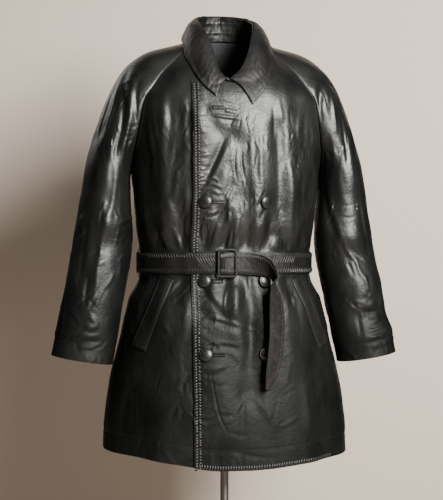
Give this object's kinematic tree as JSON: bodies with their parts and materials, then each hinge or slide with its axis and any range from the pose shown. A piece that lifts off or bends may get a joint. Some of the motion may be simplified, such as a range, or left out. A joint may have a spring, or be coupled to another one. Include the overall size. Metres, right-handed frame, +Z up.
{
  "type": "leather police coat on dress form stand",
  "caption": "Belted double-breasted black leather coat with raglan sleeves and a shirt collar, closed on a limbless dress form with a pole and a round base.",
  "frame": {"origin": "on the floor under the middle of the pole, at the centre of the base's underside", "axes": "+Z up along the pole, the coat's front faces -Y, +X is the wearer's left"},
  "size_m": [0.722, 0.396, 1.5175],
  "materials": {
    "leather": "smooth semi-gloss, creased and worn",
    "lining": "matt woven",
    "button": "gloss",
    "form": "matt jersey",
    "steel": "satin",
    "painted": "satin powder coat"
  },
  "bodies": {
    "root": {"front_left": "leather", "front_right": "leather", "back": "leather", "sleeve_left": "leather", "sleeve_right": "leather", "collar_stand": "leather", "collar_fall": "leather", "pocket_welt_left": "leather", "pocket_welt_right": "leather", "buttonhole_collar": "leather", "buttonhole_upper": "leather", "buttonhole_middle": "leather", "buttonhole_lower": "leather", "belt_band": "leather", "belt_tail": "leather", "buckle_frame": "leather", "belt_loop_left": "leather", "belt_loop_right": "leather", "lining_yoke": "lining", "button_upper_left": "button", "button_upper_right": "button", "button_middle_left": "button", "button_middle_right": "button", "button_lower_left": "button", "button_lower_right": "button", "dress_form": "form", "pole": "steel", "base": "painted"}
  },
  "joints": []
}
